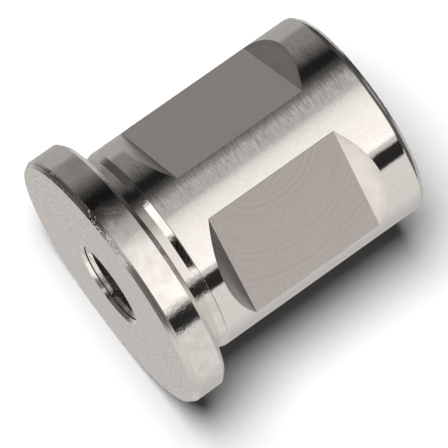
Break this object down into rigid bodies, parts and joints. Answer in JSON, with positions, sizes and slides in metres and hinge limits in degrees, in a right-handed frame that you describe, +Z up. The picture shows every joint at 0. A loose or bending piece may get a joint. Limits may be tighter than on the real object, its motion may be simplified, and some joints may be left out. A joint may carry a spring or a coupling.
{
  "type": "side-lock shank adapter",
  "caption": "Short steel tool adapter with a flange, an undercut side-lock shank with milled set-screw flats, and an axial bore with a snap ring in its mouth.",
  "frame": {"origin": "centre of the shoulder, the flange face that seats on the machine's arbor, on the turning axis", "axes": "+X along the turning axis from the flange to the shank's end, +Z up between the two set-screw flats, +Y across"},
  "size_m": [0.0254, 0.0238, 0.0238],
  "materials": {
    "ground_steel": "turned and ground bright steel, milled flats",
    "spring_steel": "dark spring steel"
  },
  "bodies": {
    "body": {"adapter_body": "ground_steel"},
    "ring": {"retaining_ring": "spring_steel"}
  },
  "joints": [
    {"name": "ring_turn", "type": "hinge", "parent": "body", "child": "ring", "pos_m": [-0.00256, 0, 0], "axis": [1, 0, 0], "continuous": true}
  ]
}
